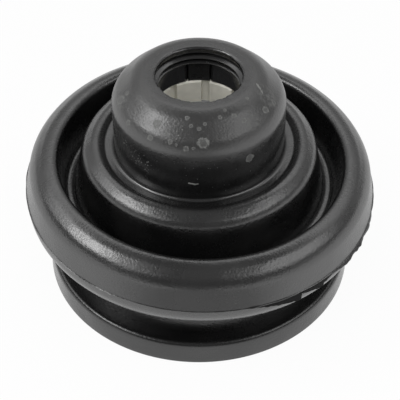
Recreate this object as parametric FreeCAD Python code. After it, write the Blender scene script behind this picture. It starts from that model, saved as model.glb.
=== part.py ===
import FreeCAD, Part
import math
import os

# Rubber bellows boot for a constant velocity joint, with the split ring and the
# guide bush that its neck holds. Millimetres. The boot stands on its large end,
# on z = 0, and its axis is Z. Every section is a solid of revolution about Z.
# The moulding flexes, so it is divided at level planes into ring sections that
# meet face to face: stiff rings at the bead, the folds, the valleys and the neck,
# and thin walls between them that stretch and roll.

# Wall of the bellows
WALL = 2.8
LEAST_FILLET = 0.4

# Largest share of a straight run that a fillet may take up
FILLET_SHARE = 0.48

# Clamp seat, the groove wall that the clamp band tightens on
SEAT_RADIUS = 40.0
SEAT_HEIGHT = 9.7
SEAT_FOOT_FILLET = 1.5
SEAT_FOOT_HEIGHT = 2.0
LOCK_BEAD_REACH = 1.4
LOCK_BEAD_WIDTH = 3.4
LOCK_BEAD_RISE = 5.9
LOCK_BEAD_FILLET = 0.6

# Base bead ring, with its reach beyond the seat
BEAD_REACH = 4.95
BEAD_HEIGHT = 7.3
BEAD_DRAFT = 0.55
BEAD_TOP_FILLET = 1.3
BEAD_BOTTOM_FILLET = 0.5
BORE_CHAMFER = 0.8

# Shaft, split ring, guide bush and neck, with their walls
SHAFT_BORE_RADIUS = 12.1
SLEEVE_WALL = 5.9
SLEEVE_CLEARANCE = 0.03
COLLAR_WALL = 5.8

# Widths of the folds, from the neck outwards
INNER_VALLEY_WIDTH = 2.8
INNER_LOBE_SLOPE_WIDTH = 1.6
INNER_LOBE_LAND = 1.6
INNER_CREST_SLOPE_WIDTH = 3.2
INNER_LEG_LEAN = 3.0
VALLEY_WIDTH = 2.4
OUTER_LEG_LEAN = 2.3
CREST_LAND = 3.15
CREST_SLOPE_WIDTH = 4.3
LOBE_DRAFT = 1.75

# Heights of the folds, from the clamp seat upwards
LOBE_ROOT_RISE = 3.0
LOBE_UNDERSIDE_RISE = 1.8
LOBE_SIDE_HEIGHT = 7.2
LOBE_TAPER_HEIGHT = 8.0
CREST_SLOPE_HEIGHT = 3.0
VALLEY_DEPTH = 11.6
INNER_LOBE_HEIGHT = 16.0
INNER_CREST_SLOPE_HEIGHT = 2.1
INNER_VALLEY_DEPTH = 1.7
NECK_STUB_HEIGHT = 1.4
COLLAR_RISE = 4.3
COLLAR_HEIGHT = 9.0

# Fillets of the visible skin
LOBE_ROOT_FILLET = 2.0
LOBE_EDGE_FILLET = 7.5
LOBE_SHOULDER_FILLET = 5.6
CREST_OUTER_FILLET = 4.8
CREST_INNER_FILLET = 1.8
VALLEY_FILLET = 1.2
INNER_SHOULDER_FILLET = 3.4
INNER_LOBE_OUTER_FILLET = 2.5
INNER_LOBE_INNER_FILLET = 1.6
INNER_VALLEY_FILLET = 0.8
NECK_ROOT_FILLET = 1.1

# Flash that the mould leaves on the large fold
FLASH_REACH = 0.35
FLASH_THICKNESS = 0.3

# Split ring and guide bush
COLLAR_SKIRT_DROP = 0.9
COLLAR_SKIRT_WALL = 2.2
RETAINING_LIP_HEIGHT = 0.9
RETAINING_LIP_REACH = 1.1
BUSH_HEIGHT = 7.7
RING_HEIGHT = 6.3
EDGE_CHAMFER = 0.4
SPLIT_ANGLE = 28.8
SPLIT_DIRECTION = 90.0
SPLIT_END_CHAMFER = 1.0
KEY_SETBACK = 0.3
KEY_CLEARANCE = 0.15
GROOVE_COUNT = 8
GROOVE_WIDTH = 2.4
GROOVE_DEPTH = 1.2
GROOVE_START_ANGLE = 81.4

# Mouth and wiper lips, with their reach inside the shaft's bore
MOUTH_REACH = 0.35
MOUTH_FILLET = 0.85
MOUTH_LAND = 1.6
LIP_REACH = 1.1
LIP_RELIEF = 0.5
LIP_RELIEF_HEIGHT = 0.8
LIP_PITCH = 1.35
LIP_TIP_FLAT = 0.25
LIP_COUNT = 2

# Dome
DOME_SLOPE = 0.9
DOME_KNEE_WIDTH = 5.05
DOME_TOP_FILLET = 11.0
DOME_SHOULDER_FILLET = 6.0

# Legs that the stiff rings keep on each side of the flex lines
SIDE_LEG_BELOW = 3.5
SIDE_LEG_ABOVE = 1.0
CREST_OUTER_LEG = 2.2
CREST_INNER_LEG = 4.2
VALLEY_LEG = 2.1
INNER_WALL_RISE = 6.1
INNER_WALL_HEIGHT = 1.5
INNER_CREST_LEG = 3.8

# Radii, from the shaft outwards
SLEEVE_RADIUS = SHAFT_BORE_RADIUS + SLEEVE_WALL
NECK_RADIUS = SLEEVE_RADIUS + COLLAR_WALL
INNER_VALLEY_RADIUS = NECK_RADIUS + INNER_VALLEY_WIDTH
INNER_LOBE_INNER_RADIUS = INNER_VALLEY_RADIUS + INNER_LOBE_SLOPE_WIDTH
INNER_CREST_RADIUS = INNER_LOBE_INNER_RADIUS + INNER_LOBE_LAND
INNER_LOBE_RADIUS = INNER_CREST_RADIUS + INNER_CREST_SLOPE_WIDTH
VALLEY_INNER_RADIUS = INNER_LOBE_RADIUS + INNER_LEG_LEAN
VALLEY_OUTER_RADIUS = VALLEY_INNER_RADIUS + VALLEY_WIDTH
CREST_INNER_RADIUS = VALLEY_OUTER_RADIUS + OUTER_LEG_LEAN
CREST_OUTER_RADIUS = CREST_INNER_RADIUS + CREST_LAND
LOBE_SHOULDER_RADIUS = CREST_OUTER_RADIUS + CREST_SLOPE_WIDTH
LOBE_RADIUS = LOBE_SHOULDER_RADIUS + LOBE_DRAFT
BORE_RADIUS = SEAT_RADIUS - WALL
BEAD_RADIUS = SEAT_RADIUS + BEAD_REACH

# Heights, from the base upwards
SEAT_FOOT_Z = BEAD_HEIGHT + SEAT_FOOT_HEIGHT
LOCK_BEAD_Z = BEAD_HEIGHT + LOCK_BEAD_RISE
SEAT_TOP_Z = BEAD_HEIGHT + SEAT_HEIGHT
LOBE_ROOT_Z = SEAT_TOP_Z + LOBE_ROOT_RISE
LOBE_EDGE_Z = LOBE_ROOT_Z + LOBE_UNDERSIDE_RISE
PARTING_Z = LOBE_EDGE_Z + LOBE_SIDE_HEIGHT
LOBE_SHOULDER_Z = PARTING_Z + LOBE_TAPER_HEIGHT
CREST_Z = LOBE_SHOULDER_Z + CREST_SLOPE_HEIGHT
VALLEY_Z = CREST_Z - VALLEY_DEPTH
INNER_LOBE_Z = VALLEY_Z + INNER_LOBE_HEIGHT
INNER_SHOULDER_Z = INNER_LOBE_Z - INNER_CREST_SLOPE_HEIGHT
INNER_VALLEY_Z = INNER_LOBE_Z - INNER_VALLEY_DEPTH
NECK_STUB_Z = INNER_VALLEY_Z + NECK_STUB_HEIGHT
COLLAR_Z = INNER_VALLEY_Z + COLLAR_RISE
COLLAR_TOP_Z = COLLAR_Z + COLLAR_HEIGHT
SKIRT_Z = COLLAR_Z - COLLAR_SKIRT_DROP
BUSH_BOTTOM_Z = SKIRT_Z + RETAINING_LIP_HEIGHT
BUSH_TOP_Z = BUSH_BOTTOM_Z + BUSH_HEIGHT
RING_TOP_Z = BUSH_TOP_Z + RING_HEIGHT
LIPS_TOP_Z = RING_TOP_Z + LIP_RELIEF_HEIGHT + LIP_COUNT * (LIP_PITCH + LIP_TIP_FLAT)
DOME_Z = LIPS_TOP_Z + MOUTH_LAND

# Level planes that divide the moulding at its flex lines
SIDE_FOOT_Z = PARTING_Z - SIDE_LEG_BELOW
SIDE_TOP_Z = PARTING_Z + SIDE_LEG_ABOVE
CREST_FOOT_Z = LOBE_SHOULDER_Z - CREST_OUTER_LEG
CREST_INNER_FOOT_Z = CREST_Z - CREST_INNER_LEG
VALLEY_FOOT_Z = VALLEY_Z - WALL - LEAST_FILLET
VALLEY_TOP_Z = VALLEY_Z + VALLEY_LEG
INNER_WALL_FOOT_Z = VALLEY_Z + INNER_WALL_RISE
INNER_WALL_TOP_Z = INNER_WALL_FOOT_Z + INNER_WALL_HEIGHT
INNER_CREST_FOOT_Z = INNER_LOBE_Z - INNER_CREST_LEG
INNER_VALLEY_FOOT_Z = INNER_VALLEY_Z - WALL - LEAST_FILLET

# Radii in open air between neighbouring walls, where the dividing planes stop
INSIDE_OUTER_LOBE = (LOBE_SHOULDER_RADIUS + CREST_INNER_RADIUS) / 2
OUTER_VALLEY_MIDDLE = (VALLEY_OUTER_RADIUS + VALLEY_INNER_RADIUS) / 2
INSIDE_INNER_LOBE = (INNER_LOBE_RADIUS + INNER_LOBE_INNER_RADIUS - WALL / 2) / 2
INNER_VALLEY_MIDDLE = (INNER_VALLEY_RADIUS + NECK_RADIUS + NECK_ROOT_FILLET) / 2

BEYOND = 10.0
OUTSIDE = LOBE_RADIUS + BEYOND
ABOVE = DOME_Z + BEYOND
AXIS = FreeCAD.Vector(0, 0, 1)
ORIGIN = FreeCAD.Vector(0, 0, 0)


def point(radius, height):
    """A point of a half section, in the XZ plane."""
    return FreeCAD.Vector(radius, 0, height)


def direction(start, end):
    """Unit direction and length from one corner to the next."""
    run = (end[0] - start[0], end[1] - start[1])
    length = math.hypot(run[0], run[1])
    return (run[0] / length, run[1] / length), length


def turn_between(before, after):
    """Signed turn, positive to the left, from one direction to the next."""
    cross = before[0] * after[1] - before[1] * after[0]
    dot = before[0] * after[0] + before[1] * after[1]
    return math.atan2(cross, dot)


def corner_arc(before, corner, after):
    """Start, middle and end of the fillet at a corner, limited by the runs beside it."""
    into, length_in = direction(before, corner)
    out, length_out = direction(corner, after)
    half_turn = abs(turn_between(into, out)) / 2
    tangent = corner[2] * math.tan(half_turn)
    tangent = min(tangent, FILLET_SHARE * length_in, FILLET_SHARE * length_out)
    radius = tangent / math.tan(half_turn)
    sagitta = radius * (1 / math.cos(half_turn) - 1)
    inward = (out[0] - into[0], out[1] - into[1])
    scale = sagitta / math.hypot(inward[0], inward[1])
    start = point(corner[0] - into[0] * tangent, corner[1] - into[1] * tangent)
    middle = point(corner[0] + inward[0] * scale, corner[1] + inward[1] * scale)
    end = point(corner[0] + out[0] * tangent, corner[1] + out[1] * tangent)
    return start, middle, end


def path_edges(corners, closed):
    """Lines and tangent arcs through corners of (radius, height, fillet)."""
    count = len(corners)
    stops = []
    for i, corner in enumerate(corners):
        inside = closed or 0 < i < count - 1
        if inside and corner[2] > 0:
            stops.append(corner_arc(corners[i - 1], corner, corners[(i + 1) % count]))
        else:
            stops.append((point(corner[0], corner[1]),))
    edges = []
    for i, stop in enumerate(stops):
        if len(stop) == 3:
            edges.append(Part.Arc(stop[0], stop[1], stop[2]).toShape())
        if closed or i < count - 1:
            edges.append(Part.LineSegment(stop[-1], stops[(i + 1) % count][0]).toShape())
    return edges


def revolved(edges):
    """Solid of revolution of a closed outline in the XZ plane."""
    face = Part.Face(Part.Wire(Part.__sortEdges__(edges)))
    return face.revolve(ORIGIN, AXIS, 360)


def ring(corners):
    """Solid of revolution of a closed outline given by its corners."""
    return revolved(path_edges(corners, closed=True))


def space(*bands):
    """Plain rings given as (inner, outer, low, high), joined into one block."""
    block = None
    for inner, outer, low, high in bands:
        cylinder = Part.makeCylinder(outer, high - low, point(0, low), AXIS)
        if inner > 0:
            cylinder = cylinder.cut(Part.makeCylinder(inner, high - low, point(0, low), AXIS))
        block = cylinder if block is None else block.fuse(cylinder).removeSplitter()
    return block


def offset_runs(corners, thickness):
    """Straight runs between corners moved to their left: start, direction, fillets."""
    runs = []
    for before, after in zip(corners[:-1], corners[1:]):
        along = direction(before, after)[0]
        start = (before[0] - along[1] * thickness, before[1] + along[0] * thickness)
        runs.append((start, along, before[2], after[2]))
    return runs


def crossing(one, other):
    """Where the lines of two runs meet."""
    apart = (other[0][0] - one[0][0], other[0][1] - one[0][1])
    turn = one[1][0] * other[1][1] - one[1][1] * other[1][0]
    reach = (apart[0] * other[1][1] - apart[1] * other[1][0]) / turn
    return one[0][0] + one[1][0] * reach, one[0][1] + one[1][1] * reach


def hidden_fillet(one, other, thickness):
    """Fillet inside the wall: smaller round a left turn and larger round a right turn."""
    visible = max(one[3], other[2])
    if visible == 0:
        return 0
    if turn_between(one[1], other[1]) > 0:
        return max(visible - thickness, LEAST_FILLET)
    return visible + thickness


def hidden_skin(corners, thickness):
    """Inside corners of a wall whose outside corners are given, on their left."""
    runs = offset_runs(corners, thickness)
    while True:
        middle = [crossing(one, other) for one, other in zip(runs[:-1], runs[1:])]
        short = None
        for i, run in enumerate(runs[1:-1]):
            span = (middle[i + 1][0] - middle[i][0], middle[i + 1][1] - middle[i][1])
            if span[0] * run[1][0] + span[1] * run[1][1] < LEAST_FILLET / 2:
                short = i + 1
        if short is None:
            break
        del runs[short]
    hidden = [(*runs[0][0], 0)]
    for spot, one, other in zip(middle, runs[:-1], runs[1:]):
        hidden.append((*spot, hidden_fillet(one, other, thickness)))
    along = runs[-1][1]
    last = corners[-1]
    hidden.append((last[0] - along[1] * thickness, last[1] + along[0] * thickness, 0))
    return hidden


# Visible skin of the bellows, from the top of the clamp seat to the neck collar
SKIN = [
    (SEAT_RADIUS, SEAT_TOP_Z, 0),
    (SEAT_RADIUS, LOBE_ROOT_Z, LOBE_ROOT_FILLET),
    (LOBE_RADIUS, LOBE_EDGE_Z, LOBE_EDGE_FILLET),
    (LOBE_RADIUS, PARTING_Z, 0),
    (LOBE_SHOULDER_RADIUS, LOBE_SHOULDER_Z, LOBE_SHOULDER_FILLET),
    (CREST_OUTER_RADIUS, CREST_Z, CREST_OUTER_FILLET),
    (CREST_INNER_RADIUS, CREST_Z, CREST_INNER_FILLET),
    (VALLEY_OUTER_RADIUS, VALLEY_Z, VALLEY_FILLET),
    (VALLEY_INNER_RADIUS, VALLEY_Z, VALLEY_FILLET),
    (INNER_LOBE_RADIUS, INNER_SHOULDER_Z, INNER_SHOULDER_FILLET),
    (INNER_CREST_RADIUS, INNER_LOBE_Z, INNER_LOBE_OUTER_FILLET),
    (INNER_LOBE_INNER_RADIUS, INNER_LOBE_Z, INNER_LOBE_INNER_FILLET),
    (INNER_VALLEY_RADIUS, INNER_VALLEY_Z, INNER_VALLEY_FILLET),
    (NECK_RADIUS, INNER_VALLEY_Z, NECK_ROOT_FILLET),
    (NECK_RADIUS, COLLAR_Z, 0),
]
HIDDEN = hidden_skin(SKIN, WALL)


def bellows_wall():
    """The whole flexing wall, one thickness throughout, before it is divided."""
    outside = path_edges(SKIN, closed=False)
    inside = path_edges(HIDDEN, closed=False)
    ends = []
    for k in (0, -1):
        visible = point(SKIN[k][0], SKIN[k][1])
        hidden = point(HIDDEN[k][0], HIDDEN[k][1])
        ends.append(Part.LineSegment(visible, hidden).toShape())
    return revolved(outside + inside + ends)


def base_ring():
    """Bead ring that the boot stands on, with the foot of the clamp seat."""
    return ring([
        (BORE_RADIUS + BORE_CHAMFER, 0, 0),
        (BEAD_RADIUS, 0, BEAD_BOTTOM_FILLET),
        (BEAD_RADIUS - BEAD_DRAFT, BEAD_HEIGHT, BEAD_TOP_FILLET),
        (SEAT_RADIUS, BEAD_HEIGHT, SEAT_FOOT_FILLET),
        (SEAT_RADIUS, SEAT_FOOT_Z, 0),
        (BORE_RADIUS, SEAT_FOOT_Z, 0),
        (BORE_RADIUS, BORE_CHAMFER, 0),
    ])


def clamp_seat():
    """Groove wall with the bead inside that locks in the housing's groove."""
    half = LOCK_BEAD_WIDTH / 2
    tip = half - LOCK_BEAD_REACH / 2
    return ring([
        (SEAT_RADIUS, SEAT_FOOT_Z, 0),
        (SEAT_RADIUS, SEAT_TOP_Z, 0),
        (BORE_RADIUS, SEAT_TOP_Z, 0),
        (BORE_RADIUS, LOCK_BEAD_Z + half, 0),
        (BORE_RADIUS - LOCK_BEAD_REACH, LOCK_BEAD_Z + tip, LOCK_BEAD_FILLET),
        (BORE_RADIUS - LOCK_BEAD_REACH, LOCK_BEAD_Z - tip, LOCK_BEAD_FILLET),
        (BORE_RADIUS, LOCK_BEAD_Z - half, 0),
        (BORE_RADIUS, SEAT_FOOT_Z, 0),
    ])


def flash_ring():
    """Thin flash round the parting line, rooted in the wall of the large fold."""
    root = LOBE_RADIUS - WALL / 2
    return ring([
        (root, PARTING_Z - FLASH_THICKNESS, 0),
        (LOBE_RADIUS, PARTING_Z - FLASH_THICKNESS, 0),
        (LOBE_RADIUS + FLASH_REACH, PARTING_Z - FLASH_THICKNESS / 2, 0),
        (LOBE_RADIUS, PARTING_Z, 0),
        (root, PARTING_Z, 0),
    ])


def bellows_sections():
    """The wall divided at its flex lines, ring by ring, from the seat to the neck."""
    spaces = {
        "lobe_underside": space(
            (0, INSIDE_OUTER_LOBE, SEAT_TOP_Z, VALLEY_FOOT_Z),
            (INSIDE_OUTER_LOBE, OUTSIDE, SEAT_TOP_Z, SIDE_FOOT_Z)),
        "lobe_side": space(
            (INSIDE_OUTER_LOBE, OUTSIDE, SIDE_FOOT_Z, SIDE_TOP_Z)),
        "lobe_shoulder": space(
            (INSIDE_OUTER_LOBE, OUTSIDE, SIDE_TOP_Z, CREST_FOOT_Z)),
        "outer_crest": space(
            (INSIDE_OUTER_LOBE, OUTSIDE, CREST_FOOT_Z, ABOVE),
            (OUTER_VALLEY_MIDDLE, INSIDE_OUTER_LOBE, CREST_INNER_FOOT_Z, ABOVE)),
        "outer_valley_wall": space(
            (OUTER_VALLEY_MIDDLE, INSIDE_OUTER_LOBE, VALLEY_TOP_Z, CREST_INNER_FOOT_Z)),
        "valley_floor": space(
            (0, INSIDE_OUTER_LOBE, VALLEY_FOOT_Z, VALLEY_TOP_Z)),
        "inner_lobe_skirt": space(
            (INSIDE_INNER_LOBE, OUTER_VALLEY_MIDDLE, VALLEY_TOP_Z, INNER_WALL_FOOT_Z)),
        "inner_lobe_wall": space(
            (INSIDE_INNER_LOBE, OUTER_VALLEY_MIDDLE, INNER_WALL_FOOT_Z, INNER_WALL_TOP_Z)),
        "inner_lobe_shoulder": space(
            (INSIDE_INNER_LOBE, OUTER_VALLEY_MIDDLE, INNER_WALL_TOP_Z, INNER_CREST_FOOT_Z)),
        "inner_crest": space(
            (INSIDE_INNER_LOBE, OUTER_VALLEY_MIDDLE, INNER_CREST_FOOT_Z, ABOVE),
            (INNER_VALLEY_MIDDLE, INSIDE_INNER_LOBE, INNER_VALLEY_FOOT_Z, ABOVE),
            (0, INNER_VALLEY_MIDDLE, INNER_VALLEY_FOOT_Z, NECK_STUB_Z)),
        "neck_root": space(
            (0, INNER_VALLEY_MIDDLE, NECK_STUB_Z, ABOVE)),
    }
    wall = bellows_wall()
    sections = {name: wall.common(block) for name, block in spaces.items()}
    sections["lobe_side"] = sections["lobe_side"].fuse(flash_ring()).removeSplitter()
    return sections


def neck_collar():
    """Thick rubber collar that grips the guide bush, with a skirt and its retaining lip."""
    lip = SLEEVE_RADIUS - RETAINING_LIP_REACH
    skirt = SLEEVE_RADIUS + COLLAR_SKIRT_WALL
    return ring([
        (lip + EDGE_CHAMFER, SKIRT_Z, 0),
        (skirt, SKIRT_Z, 0),
        (skirt, COLLAR_Z, 0),
        (NECK_RADIUS, COLLAR_Z, 0),
        (NECK_RADIUS, COLLAR_TOP_Z, 0),
        (SLEEVE_RADIUS, COLLAR_TOP_Z, 0),
        (SLEEVE_RADIUS, BUSH_BOTTOM_Z, 0),
        (lip, BUSH_BOTTOM_Z, 0),
        (lip, SKIRT_Z + EDGE_CHAMFER, 0),
    ])


def neck_dome():
    """Domed end of the neck, with the mouth, the wiper lips and the ring's key in its bore."""
    mouth = SHAFT_BORE_RADIUS - MOUTH_REACH
    knee = mouth + DOME_KNEE_WIDTH
    tip = SHAFT_BORE_RADIUS - LIP_REACH
    relief = SHAFT_BORE_RADIUS + LIP_RELIEF
    shoulder_z = DOME_Z - DOME_SLOPE * (NECK_RADIUS - knee)
    corners = [
        (SLEEVE_RADIUS, COLLAR_TOP_Z, 0),
        (NECK_RADIUS, COLLAR_TOP_Z, 0),
        (NECK_RADIUS, shoulder_z, DOME_SHOULDER_FILLET),
        (knee, DOME_Z, DOME_TOP_FILLET),
        (mouth, DOME_Z, MOUTH_FILLET),
        (mouth, LIPS_TOP_Z, 0),
    ]
    top_z = LIPS_TOP_Z
    for i in range(LIP_COUNT):
        corners.append((relief, top_z - LIP_PITCH / 4, 0))
        corners.append((relief, top_z - LIP_PITCH / 2, 0))
        corners.append((tip, top_z - LIP_PITCH, 0))
        corners.append((tip, top_z - LIP_PITCH - LIP_TIP_FLAT, 0))
        top_z -= LIP_PITCH + LIP_TIP_FLAT
    corners.append((relief, top_z - LIP_PITCH / 4, 0))
    corners.append((relief, RING_TOP_Z, 0))
    corners.append((SLEEVE_RADIUS, RING_TOP_Z, 0))
    return ring(corners).fuse(ring_key()).removeSplitter()


def sleeve(low, high):
    """Ring that fills the collar's bore, its bore edges chamfered."""
    outer = SLEEVE_RADIUS - SLEEVE_CLEARANCE
    return ring([
        (SHAFT_BORE_RADIUS + EDGE_CHAMFER, low, 0),
        (outer, low, 0),
        (outer, high, 0),
        (SHAFT_BORE_RADIUS + EDGE_CHAMFER, high, 0),
        (SHAFT_BORE_RADIUS, high - EDGE_CHAMFER, 0),
        (SHAFT_BORE_RADIUS, low + EDGE_CHAMFER, 0),
    ])


def plan_point(radius, angle):
    """Point in plan at an angle in degrees from the split's middle."""
    turn = math.radians(SPLIT_DIRECTION + angle)
    return FreeCAD.Vector(radius * math.cos(turn), radius * math.sin(turn), 0)


def split_block(low, high, half_angle, start_radius, end_chamfer):
    """Wedge about the split, from a start radius outwards, wider where the ring's ends are chamfered."""
    flare = half_angle + math.degrees(end_chamfer / start_radius)
    reach = start_radius + end_chamfer
    outline = [
        plan_point(start_radius, -flare),
        plan_point(reach, -half_angle),
        plan_point(SLEEVE_RADIUS + BEYOND, -half_angle),
        plan_point(SLEEVE_RADIUS + BEYOND, half_angle),
        plan_point(reach, half_angle),
        plan_point(start_radius, flare),
        ORIGIN,
    ]
    face = Part.Face(Part.makePolygon(outline + outline[:1]))
    block = face.extrude(AXIS * (high - low))
    block.translate(point(0, low))
    return block


def split_ring():
    """Bearing ring above the bush, split so that it springs into the collar, its ends chamfered."""
    whole = sleeve(BUSH_TOP_Z, RING_TOP_Z)
    gap = split_block(BUSH_TOP_Z, RING_TOP_Z, SPLIT_ANGLE / 2, SHAFT_BORE_RADIUS, SPLIT_END_CHAMFER)
    return whole.cut(gap)


def ring_key():
    """Rubber key that stands in the ring's gap and keeps it from turning."""
    inner = SHAFT_BORE_RADIUS + KEY_SETBACK
    low = BUSH_TOP_Z + SLEEVE_CLEARANCE
    half = SPLIT_ANGLE / 2 - math.degrees(KEY_CLEARANCE / inner)
    block = split_block(low, RING_TOP_Z, half, inner, 0)
    return block.common(space((inner, SLEEVE_RADIUS, low, RING_TOP_Z)))


def guide_bush():
    """Guide bush with axial grooves that let grease and air past the shaft."""
    bush = sleeve(BUSH_BOTTOM_Z, BUSH_TOP_Z)
    height = BUSH_TOP_Z - BUSH_BOTTOM_Z
    pitch = 360 / GROOVE_COUNT
    for i in range(GROOVE_COUNT):
        groove = Part.makeBox(SHAFT_BORE_RADIUS + GROOVE_DEPTH, GROOVE_WIDTH, height)
        groove.translate(FreeCAD.Vector(0, -GROOVE_WIDTH / 2, BUSH_BOTTOM_Z))
        groove.rotate(ORIGIN, AXIS, GROOVE_START_ANGLE + i * pitch)
        bush = bush.cut(groove)
    return bush


def build():
    """Every node by name."""
    nodes = {"base_ring": base_ring(), "clamp_seat": clamp_seat()}
    nodes.update(bellows_sections())
    nodes["neck_collar"] = neck_collar()
    nodes["neck_dome"] = neck_dome()
    nodes["split_ring"] = split_ring()
    nodes["guide_bush"] = guide_bush()
    return nodes


os.makedirs("parts", exist_ok=True)
for name, shape in build().items():
    solids = shape.Solids
    if len(solids) != 1 or not solids[0].isValid():
        raise RuntimeError(name + " is not one valid solid")
    solids[0].exportStep("parts/" + name + ".step")
    box = solids[0].optimalBoundingBox(False)
    print(f"{name:20s} {solids[0].Volume:10.1f} mm3  r {box.XMax:6.2f}"
          f"  z {box.ZMin:6.2f} to {box.ZMax:6.2f}")
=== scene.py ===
import math

import bmesh
import bpy
from bpy.props import FloatProperty, FloatVectorProperty, IntProperty, PointerProperty
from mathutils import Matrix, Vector, noise


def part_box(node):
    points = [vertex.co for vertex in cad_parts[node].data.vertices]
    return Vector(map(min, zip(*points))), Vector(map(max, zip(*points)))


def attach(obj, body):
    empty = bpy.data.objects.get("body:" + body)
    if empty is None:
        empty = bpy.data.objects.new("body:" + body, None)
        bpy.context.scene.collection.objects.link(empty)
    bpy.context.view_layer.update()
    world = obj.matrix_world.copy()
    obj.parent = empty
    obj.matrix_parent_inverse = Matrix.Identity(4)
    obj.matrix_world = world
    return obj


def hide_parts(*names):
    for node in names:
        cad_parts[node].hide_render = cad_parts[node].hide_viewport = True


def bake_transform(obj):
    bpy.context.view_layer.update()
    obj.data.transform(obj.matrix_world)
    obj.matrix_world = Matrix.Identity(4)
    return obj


bl_info = {
    "name": "Bellows Boot",
    "version": (1, 0, 0),
    "blender": (4, 5, 0),
    "location": "View3D > Sidebar > Boot",
    "description": "Rubber bellows boot of a drive joint, with the ring and the bush in its neck",
    "category": "Object",
}

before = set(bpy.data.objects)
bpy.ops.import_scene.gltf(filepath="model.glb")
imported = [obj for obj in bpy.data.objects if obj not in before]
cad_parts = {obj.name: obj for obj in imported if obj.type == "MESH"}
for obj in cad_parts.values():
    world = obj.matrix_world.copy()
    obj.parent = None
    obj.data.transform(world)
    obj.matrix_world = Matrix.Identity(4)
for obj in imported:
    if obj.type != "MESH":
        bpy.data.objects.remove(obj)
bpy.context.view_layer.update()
MM = 0.001


def node_radius(node):
    """Outer radius of a round CAD node."""
    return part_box(node)[1][0]


def node_bottom(node):
    """Lowest height of a CAD node."""
    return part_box(node)[0][2]


def node_top(node):
    """Highest height of a CAD node."""
    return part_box(node)[1][2]


def length(title, about, default):
    """Length property in metres."""
    return FloatProperty(name=title, description=about, default=default, min=0, unit="LENGTH",
                         precision=5)


def colour(title, about, default):
    """Colour property."""
    return FloatVectorProperty(name=title, description=about, default=default, min=0, max=1, size=3,
                               subtype="COLOR")


class BootSizes(bpy.types.PropertyGroup):
    """Sizes of the moulding and of what its neck holds."""

    wall: length("Wall", "Thickness of the wall at the base and the neck", 2.8 * MM)
    fold_wall: length("Fold wall", "Thickness of the folds' wall", 2.1 * MM)
    bead_radius: length("Bead radius", "Outer radius of the base bead", 44.95 * MM)
    bead_height: length("Bead height", "Height of the base bead", 7.3 * MM)
    seat_radius: length("Seat radius", "Radius of the clamp seat", node_radius("clamp_seat"))
    seat_top: length("Seat top", "Height where the large fold starts", node_top("clamp_seat"))
    lobe_radius: length("Large fold radius", "Outer radius of the large fold", node_radius("lobe_underside"))
    parting: length("Parting height", "Height of the parting line on the large fold", 29.0 * MM)
    crest_top: length("Crest top", "Top of the large fold", node_top("outer_crest"))
    small_fold_top: length("Small fold top", "Top of the small fold", node_top("inner_crest"))
    neck_radius: length("Neck radius", "Outer radius of the neck", node_radius("neck_dome"))
    dome_top: length("Dome top", "Top of the dome", node_top("neck_dome"))
    mouth_radius: length("Mouth radius", "Radius of the dome's mouth", 11.75 * MM)
    shaft_radius: length("Shaft bore", "Radius of the ring's and the bush's bore", 12.1 * MM)
    steps: IntProperty(name="Steps", description="Steps of each turned piece", default=288, min=48)


class BootColours(bpy.types.PropertyGroup):
    """Colours of the finishes."""

    rubber: colour("Rubber", "Black of the moulded rubber", (0.0030, 0.0030, 0.0031))
    worn: colour("Worn rubber", "Greyer rubber where bloom lies on it", (0.014, 0.0137, 0.0134))
    dust: colour("Dust", "Dried spots and dust", (0.16, 0.163, 0.155))
    # Painted sheen: the ring's black is lifted to about 0.02 so its faces show the dull grey that the real
    # ring's gloss mirrors.
    ring: colour("Ring", "Black of the split ring", (0.020, 0.020, 0.021))
    bush: colour("Bush", "Ivory of the guide bush", (0.84, 0.82, 0.73))
    floor: colour("Floor", "Pale floor", (0.80, 0.80, 0.80))


def sizes():
    """The size properties of the scene."""
    return bpy.context.scene.boot_sizes


def colours():
    """The colour properties of the scene."""
    return bpy.context.scene.boot_colours


# Shader maths


class Value:
    """A node socket that can be used in arithmetic."""

    def __init__(self, graph, socket):
        self.graph = graph
        self.socket = socket

    def _with(self, operation, first, second):
        return self.graph.node("ShaderNodeMath", {"operation": operation}, {0: first, 1: second})

    def __add__(self, other):
        return self._with("ADD", self, other)

    def __radd__(self, other):
        return self._with("ADD", other, self)

    def __sub__(self, other):
        return self._with("SUBTRACT", self, other)

    def __rsub__(self, other):
        return self._with("SUBTRACT", other, self)

    def __mul__(self, other):
        return self._with("MULTIPLY", self, other)

    def __rmul__(self, other):
        return self._with("MULTIPLY", other, self)

    def __truediv__(self, other):
        return self._with("DIVIDE", self, other)

    def least(self, other):
        """The smaller of two values."""
        return self._with("MINIMUM", self, other)

    def most(self, other):
        """The larger of two values."""
        return self._with("MAXIMUM", self, other)

    def ramp(self, low, high):
        """0 below low and 1 above high, smooth between, and the other way round if low is the larger."""
        return self.graph.node("ShaderNodeMapRange", {"interpolation_type": "SMOOTHSTEP"},
                               {"Value": self, "From Min": low, "From Max": high})


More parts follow.
